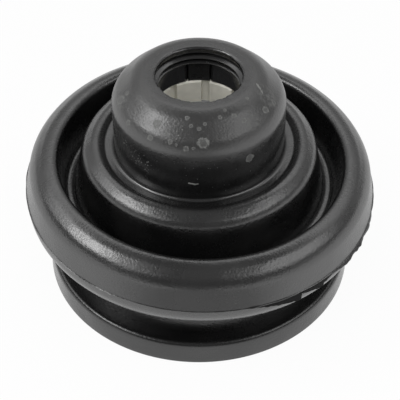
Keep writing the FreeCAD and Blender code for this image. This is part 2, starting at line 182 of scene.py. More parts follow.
class Graph:
    """The node tree of one material, or of the world."""

    def __init__(self, owner, coordinates="Object"):
        owner.use_nodes = True
        self.owner = owner
        self.tree = owner.node_tree
        self.tree.nodes.clear()
        self.place = self.node("ShaderNodeTexCoord", output=coordinates)

    def node(self, kind, settings=None, inputs=None, output=0):
        """Adds a node, sets it up, feeds its sockets and returns one of its outputs."""
        new = self.tree.nodes.new(kind)
        for key, value in (settings or {}).items():
            setattr(new, key, value)
        for key, value in (inputs or {}).items():
            if isinstance(value, Value):
                self.tree.links.new(value.socket, new.inputs[key])
            else:
                new.inputs[key].default_value = value
        return Value(self, new.outputs[output])

    def noise(self, size, detail=2.0, rough=0.5):
        """Noise whose lumps are about the given size in metres."""
        return self.node("ShaderNodeTexNoise", None,
                         {"Vector": self.place, "Scale": 1 / size, "Detail": detail, "Roughness": rough})

    def cells(self, size):
        """Distance to the nearest of points scattered about the given size apart."""
        return self.node("ShaderNodeTexVoronoi", None, {"Vector": self.place, "Scale": 1 / size},
                         "Distance")

    def blend(self, factor, first, second):
        """Mix of two colours."""
        return self.node("ShaderNodeMix", {"data_type": "RGBA"}, {0: factor, 6: first, 7: second}, 2)

    def parts(self):
        """X, Y and Z of the place."""
        return [self.node("ShaderNodeSeparateXYZ", None, {0: self.place}, axis) for axis in range(3)]

    def vector(self, operation, inputs, output=0):
        """Maths on vectors."""
        return self.node("ShaderNodeVectorMath", {"operation": operation}, inputs, output)

    def away(self, centre):
        """Distance from a point, in metres."""
        return self.vector("DISTANCE", {0: self.place, 1: centre}, "Value")

    def along(self, start, end):
        """Distance from the straight line between two points, in metres."""
        run = Vector(end) - Vector(start)
        reach = self.vector("SUBTRACT", {0: self.place, 1: start})
        share = self.vector("DOT_PRODUCT", {0: reach, 1: run / run.length_squared}, "Value")
        foot = self.vector("SCALE", {0: run, "Scale": share.most(0).least(1)})
        return self.vector("DISTANCE", {0: reach, 1: foot}, "Value")

    def bump(self, height, depth, normal=None):
        """Normal of a surface that rises by height times depth."""
        inputs = {"Height": height, "Distance": depth, "Strength": 1.0}
        if normal is not None:
            inputs["Normal"] = normal
        return self.node("ShaderNodeBump", None, inputs)

    def finish(self, base, roughness, normal, **plain):
        """Joins everything at the main shader and returns the material."""
        inputs = {"Base Color": base, "Roughness": roughness, "Normal": normal}
        inputs.update({key.replace("_", " "): value for key, value in plain.items()})
        shader = self.node("ShaderNodeBsdfPrincipled", None, inputs)
        self.feed_output(shader)
        return self.owner

    def feed_output(self, shader, kind="ShaderNodeOutputMaterial"):
        """Feeds the output of the material or of the world."""
        out = self.tree.nodes.new(kind)
        self.tree.links.new(shader.socket, out.inputs["Surface"])


def rgba(values):
    """Colour with its alpha."""
    return (*values, 1.0)


# Materials


def new_finish(name):
    """Empty node tree of a new material."""
    return Graph(bpy.data.materials.new(name))


def on_circle(azimuth, radius, height):
    """Point in metres from an azimuth in degrees and a radius and height in millimetres."""
    turn = math.radians(azimuth)
    return (radius * math.cos(turn) * MM, radius * math.sin(turn) * MM, height * MM)


# Drops that dried on the dome and the neck: azimuth in degrees, radius, height and size in mm
DROPS = (
    (272.7, 22.4, 61.6, 1.25), (261.9, 23.3, 60.2, 0.7), (251.1, 22.8, 61.2, 0.6),
    (237.9, 20.3, 63.5, 1.0), (195.5, 21.7, 62.3, 1.2), (194.9, 19.7, 64.1, 0.6),
    (177.9, 19.9, 63.9, 0.6), (339.8, 21.1, 62.8, 0.75), (327.8, 20.7, 63.2, 0.9),
    (321.2, 16.1, 66.4, 0.4), (299.5, 18.4, 65.2, 0.6), (304.2, 23.8, 54.1, 1.1),
    (270.1, 19.8, 64.0, 0.5), (287.8, 17.8, 65.6, 0.5), (294.3, 16.3, 66.3, 0.4),
    (260.1, 17.6, 65.7, 0.5), (264.0, 19.2, 64.5, 0.45), (274.8, 18.8, 64.8, 0.4),
    (255.3, 23.0, 60.8, 0.35), (236.9, 23.1, 60.7, 0.7), (216.0, 22.9, 60.9, 0.7),
    (266.5, 23.2, 60.4, 0.4), (247.0, 21.5, 62.5, 0.4), (306.0, 20.0, 63.9, 0.6),
)
# Streaks on the dome and the neck: azimuth, radius and height of both ends, and the width in mm
STREAKS = (
    ((344.7, 15.9, 66.4), (341.0, 17.0, 65.9), 0.30), ((340.0, 17.3, 65.7), (338.0, 18.1, 65.4), 0.22),
    ((263.8, 23.8, 48.8), (267.6, 23.8, 48.5), 0.28), ((267.6, 23.8, 48.5), (269.4, 23.8, 48.7), 0.20),
)
# Clusters of fine dust: azimuth, radius, height and reach in mm
CLUSTERS = (
    (224, 23.8, 52.0, 3.2), (233, 23.8, 51.6, 3.4), (214, 23.8, 55.0, 3.0), (252, 21.0, 62.9, 4.0),
)
# Clouded patches: azimuth, radius, height and reach in mm
CLOUDS = (
    (176, 21.2, 62.8, 6.0), (196, 22.0, 62.0, 3.5), (312, 20.5, 63.4, 3.5), (340, 19.5, 64.4, 4.5),
)


def dried_soil(g):
    """How much dried dust lies on each place of the dome and the neck."""
    edge = g.noise(0.8 * MM, 4, 0.6) - 0.5
    broken = g.noise(0.7 * MM, 3, 0.6).ramp(0.36, 0.60)
    soil = g.cells(1.5 * MM).ramp(0.10, 0.05) * 0.35
    for azimuth, radius, height, size in DROPS:
        far = g.away(on_circle(azimuth, radius, height)) / (size * MM) + edge * 1.7
        ring = far.ramp(0.55, 0.88) * far.ramp(1.25, 1.00) * (0.25 + broken * 0.55)
        soil = soil.most(ring.most(far.ramp(1.0, 0.7) * 0.20))
    for start, end, width in STREAKS:
        far = g.along(on_circle(*start), on_circle(*end)) / (width * MM) + edge * 0.8
        soil = soil.most(far.ramp(1.1, 0.7))
    specks = g.cells(0.8 * MM).ramp(0.26, 0.16)
    for azimuth, radius, height, reach in CLUSTERS:
        near = g.away(on_circle(azimuth, radius, height)).ramp(reach * MM, 0.3 * reach * MM)
        soil = soil.most(near * specks)
    mottle = g.noise(1.5 * MM, 4, 0.65).ramp(0.46, 0.62)
    for azimuth, radius, height, reach in CLOUDS:
        near = g.away(on_circle(azimuth, radius, height)).ramp(reach * MM, 0.4 * reach * MM)
        soil = soil.most(near * mottle * 0.30)
    return soil


GRAIN_DEPTH = 0.07 * MM
RIPPLE_DEPTH = 0.20 * MM
# The haze on the dome: how far from the axis it starts and is full, and how softly it starts in height
HAZE_START = 13.04 * MM
HAZE_FULL = 15.81 * MM
HAZE_EDGE = 4 * MM
HAZE_HEIGHT = 58 * MM


def rubber(name, gloss=0.0, hazy_above=None, soil=None, ior=2.0):
    """Black moulded rubber with bloom, grain and dust specks, hazy above a height, with soil over it."""
    g = new_finish(name)
    paint = colours()
    bloom = g.noise(14 * MM, 3).ramp(0.35, 0.75) * 0.4
    grain = g.noise(0.5 * MM, 3, 0.6) * 0.6 + g.cells(0.7 * MM) * 0.4
    if hazy_above:
        x, y, z = g.parts()
        above = z.ramp(hazy_above - HAZE_EDGE, hazy_above + HAZE_EDGE)
        haze = above * (x * x + y * y).ramp(HAZE_START ** 2, HAZE_FULL ** 2)
        bloom = bloom + haze
        grain = grain * (0.35 + haze * 0.9)
    base = g.blend(bloom.least(1.0), rgba(paint.rubber), rgba(paint.worn))
    rough = 0.22 - gloss + bloom * 0.12 + g.noise(2.2 * MM, 3) * 0.08
    normal = g.bump(grain, GRAIN_DEPTH, g.bump(g.noise(9 * MM, 1), RIPPLE_DEPTH))
    dust = g.cells(2.6 * MM).ramp(0.055, 0.03) * g.noise(8 * MM).ramp(0.52, 0.62) * 0.5
    if soil:
        dust = dust.most(soil(g))
    base = g.blend(dust, base, rgba(paint.dust))
    return g.finish(base, (rough + dust * 0.7).least(0.9), normal, IOR=ior)


def torn_rubber():
    """Dull broken face of torn rubber."""
    g = new_finish("torn_rubber")
    paint = colours()
    broken = g.noise(0.8 * MM, 4, 0.65)
    base = g.blend(broken.ramp(0.35, 0.75), rgba(paint.rubber), rgba(paint.worn))
    return g.finish(base, 0.55 + broken * 0.3, g.bump(broken, 0.20 * MM), IOR=1.2)


def gloss_plastic():
    """Hard black plastic of the split ring, its black lifted a little as painted sheen."""
    g = new_finish("gloss_plastic")
    rough = 0.14 + g.noise(3 * MM) * 0.10
    normal = g.bump(g.noise(2.5 * MM), 0.03 * MM)
    return g.finish(rgba(colours().ring), rough, normal, IOR=1.55)


def ivory_plastic():
    """Matt ivory plastic of the guide bush, a little uneven in tone."""
    g = new_finish("ivory_plastic")
    paint = colours().bush
    shade = [channel * 0.86 for channel in paint]
    tone = g.noise(4 * MM, 3).ramp(0.3, 0.75)
    base = g.blend(tone, rgba(paint), rgba(shade))
    normal = g.bump(g.noise(0.9 * MM), 0.02 * MM)
    return g.finish(base, 0.45 + tone * 0.1, normal)


# Modelling


def nothing_selected():
    """Leaves edit mode and deselects every object."""
    if bpy.context.mode != "OBJECT":
        bpy.ops.object.mode_set(mode="OBJECT")
    bpy.ops.object.select_all(action="DESELECT")


def edit_mesh(piece):
    """The mesh under edit, with its tables up to date."""
    mesh = bmesh.from_edit_mesh(piece.data)
    mesh.verts.ensure_lookup_table()
    mesh.edges.ensure_lookup_table()
    return mesh


def pick(piece, test, kind="verts"):
    """Selects only the vertices, edges or faces that pass a test."""
    bpy.ops.mesh.select_all(action="DESELECT")
    mesh = edit_mesh(piece)
    for part in getattr(mesh, kind):
        if test(part):
            part.select = True
    mesh.select_flush_mode()
    bmesh.update_edit_mesh(piece.data)


def middle(edge):
    """Middle of an edge."""
    return (edge.verts[0].co + edge.verts[1].co) / 2


def start_point(name, place):
    """New object in edit mode that holds one vertex: a small plane merged at its centre."""
    nothing_selected()
    bpy.ops.mesh.primitive_plane_add(size=MM, location=place)
    piece = bpy.context.object
    piece.name = name
    bpy.ops.object.transform_apply(location=True, rotation=True, scale=True)
    bpy.ops.object.mode_set(mode="EDIT")
    bpy.ops.mesh.select_all(action="SELECT")
    bpy.ops.mesh.merge(type="CENTER")
    return piece


def tangent_length(before, corner, after):
    """Distance from a corner to where its fillet starts."""
    into = Vector((corner[0] - before[0], corner[1] - before[1]))
    out = Vector((after[0] - corner[0], after[1] - corner[1]))
    half_turn = into.angle(out) / 2
    wanted = corner[2] * math.tan(half_turn)
    shares = [0.48 if neighbour[2] > 0 else 0.95 for neighbour in (before, after)]
    return min(wanted, shares[0] * into.length, shares[1] * out.length)


ARC_STEPS = 9
LONGEST_RUN = 0.8 * MM


def draw_outline(name, corners):
    """Closed outline in the XZ plane through corners of (radius, height, fillet)."""
    piece = start_point(name, (corners[0][0], 0, corners[0][1]))
    for before, after in zip(corners[:-1], corners[1:]):
        move = (after[0] - before[0], 0, after[1] - before[1])
        bpy.ops.mesh.extrude_region_move(TRANSFORM_OT_translate={"value": move})
    pick(piece, lambda v: len(v.link_edges) == 1)
    bpy.ops.mesh.edge_face_add()
    count = len(corners)
    for i, corner in enumerate(corners):
        if corner[2] > 0:
            spot = Vector((corner[0], 0, corner[1]))
            reach = tangent_length(corners[i - 1], corner, corners[(i + 1) % count])
            pick(piece, lambda v: (v.co - spot).length < 1e-7)
            bpy.ops.mesh.bevel(offset_type="OFFSET", offset=reach, segments=ARC_STEPS, profile=0.5,
                               affect="VERTICES", clamp_overlap=False)
    for edge_cuts in (7, 3, 1):
        pick(piece, lambda e: e.calc_length() > LONGEST_RUN * (edge_cuts + 1), "edges")
        bpy.ops.mesh.subdivide(number_cuts=edge_cuts)
    return piece


def turn_outline(piece, steps=None):
    """Spins the outline about Z into a closed skin whose faces point outwards."""
    bpy.ops.mesh.select_all(action="SELECT")
    bpy.ops.mesh.spin(steps=steps or sizes().steps, angle=2 * math.pi, center=(0, 0, 0), axis=(0, 0, 1))
    bpy.ops.mesh.select_all(action="SELECT")
    bpy.ops.mesh.remove_doubles(threshold=1e-6)
    bpy.ops.mesh.normals_make_consistent(inside=False)
    return piece


SMOOTH_ANGLE = math.radians(35)


def smooth(piece):
    """Leaves edit mode with smooth shading across all but sharp edges."""
    nothing_selected()
    piece.select_set(True)
    bpy.context.view_layer.objects.active = piece
    bpy.ops.object.shade_smooth_by_angle(angle=SMOOTH_ANGLE)
    return piece


def turned(name, corners, material):
    """Smooth turned piece with its material."""
    piece = smooth(turn_outline(draw_outline(name, corners)))
    settle(piece)
    piece.data.materials.append(material)
    return piece


def turn_part(name, corners, start, end, steps, material):
    """Piece turned from one azimuth to another, in degrees, with closed ends."""
    piece = draw_outline(name, corners)
    bpy.ops.mesh.select_all(action="SELECT")
    bpy.ops.mesh.spin(steps=steps, angle=math.radians(start - end), center=(0, 0, 0), axis=(0, 0, 1))
    for at_start in (True, False):
        pick(piece, lambda e: e.is_boundary and (abs(middle(e).y) < 1e-6) == at_start, "edges")
        bpy.ops.mesh.edge_face_add()
    bpy.ops.mesh.select_all(action="SELECT")
    bpy.ops.mesh.normals_make_consistent(inside=False)
    smooth(piece)
    piece.rotation_euler.z = math.radians(start)
    bpy.ops.object.transform_apply(location=True, rotation=True, scale=True)
    piece.data.materials.append(material)
    return piece


def eased(value, low, high):
    """0 below low, 1 above high, smooth between."""
    share = min(max((value - low) / (high - low), 0.0), 1.0)
    return share * share * (3 - 2 * share)


# Slopes of the large fold, which has settled with its left and its back a little high
LEAN_X = -0.0235
LEAN_Y = 0.018
LEAN_HEIGHT = 14.5 * MM
UNEVEN_DEPTH = 0.22 * MM
UNEVEN_SIZE = 30 * MM


def settle(piece):
    """Lets the large fold lean a little and the skin run uneven, as soft rubber does."""
    for v in piece.data.vertices:
        x, y, z = v.co
        radius = math.hypot(x, y)
        outside = eased(radius, 37 * MM, 38.2 * MM) * eased(z, 15 * MM, 19 * MM)
        lean = outside * max(eased(radius, 40 * MM, 47 * MM), eased(z, 29 * MM, 36 * MM))
        v.co.z += lean * (LEAN_X * x + LEAN_Y * y)
        v.co.x -= lean * LEAN_X * (z - LEAN_HEIGHT)
        v.co.y -= lean * LEAN_Y * (z - LEAN_HEIGHT)
        free = eased(radius, 19 * MM, 23 * MM) * eased(z, 9 * MM, 14 * MM)
        swell = noise.noise(Vector((x, y, z)) / UNEVEN_SIZE) * UNEVEN_DEPTH * free
        v.co.x += x / radius * swell
        v.co.y += y / radius * swell


# Section of the moulding


def mm(*values):
    """Corner of an outline given in millimetres."""
    return tuple(value * MM for value in values)


def left_of(run, reach):
    """Offset to the left of a unit run in the outline's plane."""
    return Vector((-run.y, run.x)) * reach


def crossing(start, way, other_start, other_way):
    """Where two lines of the outline meet."""
    apart = other_start - start
    return start + way * (apart.cross(other_way) / way.cross(other_way))


def hidden_side(corners, wall):
    """The wall's hidden side, to the left of its visible corners, without runs too short to stay."""
    spots = [Vector(corner[:2]) for corner in corners]
    runs = []
    for i in range(len(spots) - 1):
        way = (spots[i + 1] - spots[i]).normalized()
        runs.append((spots[i] + left_of(way, wall), way, corners[i][2], corners[i + 1][2]))
    while True:
        meets = [crossing(one[0], one[1], two[0], two[1]) for one, two in zip(runs[:-1], runs[1:])]
        gone = [i for i in range(1, len(runs) - 1) if (meets[i] - meets[i - 1]).dot(runs[i][1]) < 0.2 * MM]
        if not gone:
            break
        del runs[gone[0]]
    hidden = [(*runs[0][0], 0)]
    for meet, one, two in zip(meets, runs[:-1], runs[1:]):
        fillet = max(one[3], two[2])
        if fillet > 0:
            fillet = max(fillet - wall, 0.4 * MM) if one[1].cross(two[1]) > 0 else fillet + wall
        hidden.append((*meet, fillet))
    hidden.append((*(spots[-1] + left_of(runs[-1][1], wall)), 0))
    return hidden


def between(one, other, share):
    """Point on the run between two corners."""
    return tuple(a + (b - a) * share for a, b in zip(one[:2], other[:2])) + (0,)


def at_height(one, other, height):
    """Point at a height on the run between two corners."""
    return between(one, other, (height - one[1]) / (other[1] - one[1]))


# Heights of the section
ROOT_RISE = 3.0 * MM
SIDE_BELOW_PARTING = 6.8 * MM
SIDE_ABOVE_PARTING = 8.0 * MM
VALLEY_DEPTH = 11.6 * MM
SMALL_SLOPE_HEIGHT = 2.1 * MM
INNER_VALLEY_DEPTH = 1.7 * MM
NECK_RUN = 7.3 * MM
# Widths of the section
SIDE_DRAFT = 1.75 * MM
CREST_SLOPE_WIDTH = 4.3 * MM
CREST_LAND = 3.15 * MM
OUTER_LEG_LEAN = 2.3 * MM
INNER_LEG_LEAN = 3.0 * MM
SMALL_SHOULDER_WIDTH = 3.2 * MM
SMALL_LAND = 1.6 * MM
SMALL_SLOPE_WIDTH = 1.6 * MM
INNER_VALLEY_WIDTH = 2.8 * MM
# Fillets of the section
ROOT_FILLET = 2.0 * MM
EDGE_FILLET = 7.5 * MM
SHOULDER_FILLET = 5.6 * MM
CREST_OUTER_FILLET = 4.8 * MM
CREST_INNER_FILLET = 1.8 * MM
VALLEY_FILLET = 1.2 * MM
SMALL_SHOULDER_FILLET = 3.4 * MM
SMALL_OUTER_FILLET = 2.5 * MM
SMALL_INNER_FILLET = 1.6 * MM
INNER_VALLEY_FILLET = 0.8 * MM
NECK_ROOT_FILLET = 1.1 * MM


def skin_corners():
    """Visible corners of the bellows, from the clamp seat to the neck."""
    s = sizes()
    valley = s.crest_top - VALLEY_DEPTH
    shoulder = s.lobe_radius - SIDE_DRAFT
    crest_outside = shoulder - CREST_SLOPE_WIDTH
    crest_inside = crest_outside - CREST_LAND
    inner_valley = s.small_fold_top - INNER_VALLEY_DEPTH
    valley_outside = s.neck_radius + INNER_VALLEY_WIDTH
    small_inside = valley_outside + SMALL_SLOPE_WIDTH
    small_outside = small_inside + SMALL_LAND
    small_shoulder = small_outside + SMALL_SHOULDER_WIDTH
    return [
        (s.seat_radius, s.seat_top, 0),
        (s.seat_radius, s.seat_top + ROOT_RISE, ROOT_FILLET),
        (s.lobe_radius, s.parting - SIDE_BELOW_PARTING, EDGE_FILLET),
        (s.lobe_radius, s.parting, 0),
        (shoulder, s.parting + SIDE_ABOVE_PARTING, SHOULDER_FILLET),
        (crest_outside, s.crest_top, CREST_OUTER_FILLET),
        (crest_inside, s.crest_top, CREST_INNER_FILLET),
        (crest_inside - OUTER_LEG_LEAN, valley, VALLEY_FILLET),
        (small_shoulder + INNER_LEG_LEAN, valley, VALLEY_FILLET),
        (small_shoulder, s.small_fold_top - SMALL_SLOPE_HEIGHT, SMALL_SHOULDER_FILLET),
        (small_outside, s.small_fold_top, SMALL_OUTER_FILLET),
        (small_inside, s.small_fold_top, SMALL_INNER_FILLET),
        (valley_outside, inner_valley, INNER_VALLEY_FILLET),
        (s.neck_radius, inner_valley, NECK_ROOT_FILLET),
        (s.neck_radius, inner_valley + NECK_RUN, 0),
    ]


# Heights where one piece of skin ends and the next starts, on straight runs
LEG_SEAM = 35.0 * MM
NECK_SEAM = 50.0 * MM
# Heights listed for the flex lines, from the body nearer the base to the body nearer the neck; nothing in
# the script bends the skins between them
UNDERSIDE_FLEX_END = 25.5 * MM
SHOULDER_FLEX = (29.4 * MM, 35.5 * MM)
OUTER_LEG_FLEX = (36.0 * MM, 29.5 * MM)
INNER_LEG_FLEX = (29.5 * MM, LEG_SEAM)
SMALL_FOLD_FLEX = (LEG_SEAM, 39.8 * MM)


def wall_section(low, first, last, high):
    """Closed outline of the wall from the point low, over corners first to last, to the point high."""
    visible = [low] + skin_corners()[first:last + 1] + [high]
    return visible + hidden_side(visible, sizes().fold_wall)[::-1]


BORE_CHAMFER = 0.8 * MM
BEAD_DRAFT = 0.55 * MM
BEAD_TOP_FILLET = 1.3 * MM
BEAD_BOTTOM_FILLET = 0.5 * MM
# The bead inside the seat: height of its middle above the base bead, half widths, reach and fillet
LOCK_RISE = 5.9 * MM
LOCK_HALF_FOOT = 1.7 * MM
LOCK_HALF_TOP = 1.0 * MM
LOCK_REACH = 1.4 * MM
LOCK_FILLET = 0.6 * MM


def base_section():
    """Outline of the base bead, the clamp seat and the bead inside it."""
    s = sizes()
    bore = s.seat_radius - s.wall
    lock = s.bead_height + LOCK_RISE
    return [
        (bore + BORE_CHAMFER, 0, 0),
        (s.bead_radius, 0, BEAD_BOTTOM_FILLET),
        (s.bead_radius - BEAD_DRAFT, s.bead_height, BEAD_TOP_FILLET),
        (s.seat_radius, s.bead_height, 0),
        (s.seat_radius, s.seat_top, 0),
        (s.seat_radius - s.fold_wall, s.seat_top, 0),
        (bore, lock + LOCK_HALF_FOOT, 0),
        (bore - LOCK_REACH, lock + LOCK_HALF_TOP, LOCK_FILLET),
        (bore - LOCK_REACH, lock - LOCK_HALF_TOP, LOCK_FILLET),
        (bore, lock - LOCK_HALF_FOOT, 0),
        (bore, BORE_CHAMFER, 0),
    ]


SLEEVE_CLEARANCE = 0.03 * MM
# The skirt that holds the bush, and the lip at its foot
SKIRT_WALL = 2.2 * MM
SKIRT_LIP_REACH = 1.1 * MM
SKIRT_CHAMFER = 0.4 * MM
SKIRT_FOOT_FILLET = 0.3 * MM
SKIRT_ROOT_FILLET = 0.2 * MM
NECK_HIDDEN_FILLET = 3.2 * MM


def neck_foot_section():
    """Outline from the middle of the inner valley up the neck, with the lip that holds the bush."""
    s = sizes()
    corners = skin_corners()
    foot = between(corners[12], corners[13], 0.5)
    bush_foot = node_bottom("guide_bush")
    lip_foot = node_bottom("neck_collar")
    sleeve = node_radius("guide_bush") + SLEEVE_CLEARANCE
    lip = sleeve - SKIRT_LIP_REACH
    skirt = sleeve + SKIRT_WALL
    hidden = s.neck_radius - s.wall
    return [
        foot,
        corners[13],
        (s.neck_radius, NECK_SEAM, 0),
        (sleeve, NECK_SEAM, 0),
        (sleeve, bush_foot, 0),
        (lip, bush_foot, 0),
        (lip, lip_foot + SKIRT_CHAMFER, 0),
        (lip + SKIRT_CHAMFER, lip_foot, 0),
        (skirt, lip_foot, SKIRT_FOOT_FILLET),
        (skirt, bush_foot, SKIRT_ROOT_FILLET),
        (hidden, bush_foot, SKIRT_ROOT_FILLET),
        (hidden, foot[1] - s.fold_wall, NECK_HIDDEN_FILLET),
        (foot[0], foot[1] - s.fold_wall, 0),
    ]


# The dome: its land round the mouth, its slope, and its fillets
DOME_LAND = 5.05 * MM
DOME_SLOPE = 0.9
DOME_SHOULDER_FILLET = 6.0 * MM
DOME_TOP_FILLET = 11.0 * MM
MOUTH_FILLET = 0.85 * MM
MOUTH_DEPTH = 1.6 * MM
MOUTH_FOOT_FILLET = 0.2 * MM
# The wiper lips: how many, their pitch, the groove over each, its two drops, and the tip's drop and reach
LIP_COUNT = 2
LIP_PITCH = 1.6 * MM
LIP_RELIEF = 0.5 * MM
LIP_REACH = 1.1 * MM
GROOVE_TOP_DROP = 0.34 * MM
GROOVE_FOOT_DROP = 0.68 * MM
LIP_TIP_DROP = 1.35 * MM
GROOVE_FILLET = 0.15 * MM
LIP_TIP_FILLET = 0.10 * MM
RING_SEAT_RISE = 0.46 * MM


def dome_section():
    """Outline of the neck above its seam, the dome, the mouth and the wiper lips."""
    s = sizes()
    ring_top = node_top("split_ring")
    sleeve = node_radius("split_ring") + SLEEVE_CLEARANCE
    knee = s.mouth_radius + DOME_LAND
    shoulder = s.dome_top - DOME_SLOPE * (s.neck_radius - knee)
    relief = s.shaft_radius + LIP_RELIEF
    tip = s.shaft_radius - LIP_REACH
    lips_top = s.dome_top - MOUTH_DEPTH
    corners = [
        (s.neck_radius, NECK_SEAM, 0),
        (s.neck_radius, shoulder, DOME_SHOULDER_FILLET),
        (knee, s.dome_top, DOME_TOP_FILLET),
        (s.mouth_radius, s.dome_top, MOUTH_FILLET),
        (s.mouth_radius, lips_top, MOUTH_FOOT_FILLET),
    ]
    for i in range(LIP_COUNT):
        top = lips_top - i * LIP_PITCH
        corners.append((relief, top - GROOVE_TOP_DROP, GROOVE_FILLET))
        corners.append((relief, top - GROOVE_FOOT_DROP, GROOVE_FILLET))
        corners.append((tip, top - LIP_TIP_DROP, LIP_TIP_FILLET))
        corners.append((tip, top - LIP_PITCH, LIP_TIP_FILLET))
    corners.append((relief, ring_top + RING_SEAT_RISE, GROOVE_FILLET))
    corners.append((relief, ring_top, 0))
    corners.append((sleeve, ring_top, 0))
    corners.append((sleeve, NECK_SEAM, 0))
    return corners


FRAY_DEPTH = 0.32 * MM
FRAY_LIFT = 0.12 * MM


def wear_mouth(piece):
    """Frays the edge of the mouth and lets it run out of round."""
    s = sizes()
    for v in piece.data.vertices:
        radius = math.hypot(v.co.x, v.co.y)
        near = eased(radius, s.mouth_radius + 1.6 * MM, s.mouth_radius + 0.3 * MM)
        near *= eased(v.co.z, s.dome_top - 1.5 * MM, s.dome_top - 0.8 * MM)
        near *= 0.25 + 0.75 * eased(v.co.y, 3 * MM, -5 * MM)
        if near > 0:
            torn = noise.noise(v.co / (0.8 * MM)) + 0.7 * noise.noise(v.co / (3.5 * MM))
            inward = near * max(torn, -0.25) * FRAY_DEPTH
            v.co.x -= v.co.x / radius * inward
            v.co.y -= v.co.y / radius * inward
            v.co.z += near * noise.noise(v.co / (2 * MM)) * FRAY_LIFT


# The key in the split ring's gap: the azimuths of its ends in degrees, its setback, fillet and steps
KEY_START = 76.3
KEY_END = 103.7
KEY_SETBACK = 0.3 * MM
KEY_FILLET = 0.3 * MM
KEY_STEPS = 24


def key_section():
    """Outline of the rubber key that stands in the split ring's gap."""
    inner = sizes().shaft_radius + KEY_SETBACK
    outer = node_radius("split_ring") + SLEEVE_CLEARANCE
    low = node_bottom("split_ring") + SLEEVE_CLEARANCE
    high = node_top("split_ring")
    return [(inner, low, KEY_FILLET), (outer, low, 0), (outer, high, 0), (inner, high, 0)]


# Operators, one for each piece or group of like pieces


class BOOT_OT_stage(bpy.types.Operator):
    """Camera, room, pale floor and soft lights"""

    bl_idname = "boot.stage"
    bl_label = "Stage"

    def execute(self, context):
        place_camera(context.scene)
        make_world(context.scene)
        make_floor()
        make_lights()
        return {"FINISHED"}


CAMERA_PLACE = mm(0.29, -237.1, 247.6)
CAMERA_PITCH = 46.16
CAMERA_LENS = 100.05


def place_camera(scene):
    """Camera at the photograph's view."""
    nothing_selected()
    bpy.ops.object.camera_add(location=CAMERA_PLACE, rotation=(math.radians(CAMERA_PITCH), 0, 0))
    camera = bpy.context.object
    camera.data.lens = CAMERA_LENS
    camera.data.sensor_width = 36
    camera.data.clip_start = 0.01
    scene.camera = camera
    scene.view_settings.view_transform = "Standard"


def make_world(scene):
    """Room with a white horizon, a pale wall behind and dim air above, white where the camera sees it."""
    scene.world = bpy.data.worlds.new("room")
    g = Graph(scene.world, "Generated")
    x, y, z = g.parts()
    sky = 0.12 + z.ramp(0.10, 0.55) * 0.08
    horizon = z.ramp(0.25, 0.10) * (1 - y.ramp(-0.55, -0.95) * 0.7)
    band = z.ramp(0.70, 0.77) * z.ramp(0.88, 0.80) * 1.1
    wall = y.ramp(0.08, 0.40) * z.ramp(0.92, 0.84) * (0.35 + z.ramp(0.35, 0.62) * 0.35 + band)
    seen = g.node("ShaderNodeLightPath", output="Is Camera Ray")
    light = horizon.most(wall).most(sky).most(seen)
    back = g.node("ShaderNodeBackground", None, {"Color": (1, 1, 1, 1), "Strength": light})
    g.feed_output(back, "ShaderNodeOutputWorld")


FLOOR_SIZE = 3.0
FLOOR_WHITE = 0.95
# What the gloss at the boot's front mirrors of the floor is dimmer: where that starts and is full
DIM_START = -62 * MM
DIM_FULL = -90 * MM
DIM_HALF_WIDTH = 100 * MM
DIM_HALF_CORE = 30 * MM


def make_floor():
    """Pale floor that the boot stands on, near white apart from the shadow and a painted shade in front that
    only the boot's gloss mirrors.
    """
    nothing_selected()
    bpy.ops.mesh.primitive_plane_add(size=FLOOR_SIZE, location=(0, 0, 0))
    floor = bpy.context.object
    floor.name = "floor"
    g = new_finish("floor")
    white = g.node("ShaderNodeEmission", None, {"Color": (1, 1, 1, 1), "Strength": 1.0})
    seen, mirrored, through = [g.node("ShaderNodeLightPath", output=f"Is {ray} Ray")
                               for ray in ("Camera", "Glossy", "Transmission")]
    x, y, z = g.parts()
    # Painted shade: in front of the boot the floor is dimmer for gloss alone, in its glow and its lit tone,
    # so the fold's front side mirrors a darker floor than its flanks.
    front = y.ramp(DIM_START, DIM_FULL) * (x * x).ramp(DIM_HALF_WIDTH ** 2, DIM_HALF_CORE ** 2)
    share = seen * FLOOR_WHITE + (mirrored + through) * (1 - front * 0.9)
    tone = g.blend(mirrored * front * 0.5, rgba(colours().floor), (0, 0, 0, 1))
    lit = g.node("ShaderNodeBsdfDiffuse", None, {"Color": tone})
    g.feed_output(g.node("ShaderNodeMixShader", None, {0: share, 1: lit, 2: white}))
    floor.data.materials.append(g.owner)


def make_lights():
    """Soft boxes at the left and, weaker, at the right, and a fill in front that no gloss mirrors."""
    soft_box("left_box", (-0.50, -0.12, 0.52), 0.22, 0.22, 0.75)
    soft_box("left_strip", (-0.51, -0.12, 0.53), 0.85, 0.34, 1.25)
    soft_box("right_strip", (0.50, -0.22, 0.54), 0.60, 0.30, 0.90)
    fill = soft_box("fill_box", (0.0, -0.30, 0.62), 0.50, 0.50, 2.0)
    fill.visible_glossy = False


def soft_box(name, place, width, height, power):
    """Oblong area light aimed at the boot."""
    nothing_selected()
    aim = (Vector((0, 0, 0.04)) - Vector(place)).to_track_quat("-Z", "Y").to_euler()
    bpy.ops.object.light_add(type="AREA", location=place, rotation=aim)
    light = bpy.context.object
    light.name = name
    light.data.shape = "RECTANGLE"
    light.data.size = width
    light.data.size_y = height
    light.data.energy = power
    return light


class BOOT_OT_base(bpy.types.Operator):
    """Base bead and clamp seat"""

    bl_idname = "boot.base"
    bl_label = "Base bead"

    def execute(self, context):
        piece = turned("base_skin", base_section(), rubber("base_rubber", 0.03, ior=1.7))
        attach(piece, "large_end")
        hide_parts("base_ring", "clamp_seat")
        return {"FINISHED"}


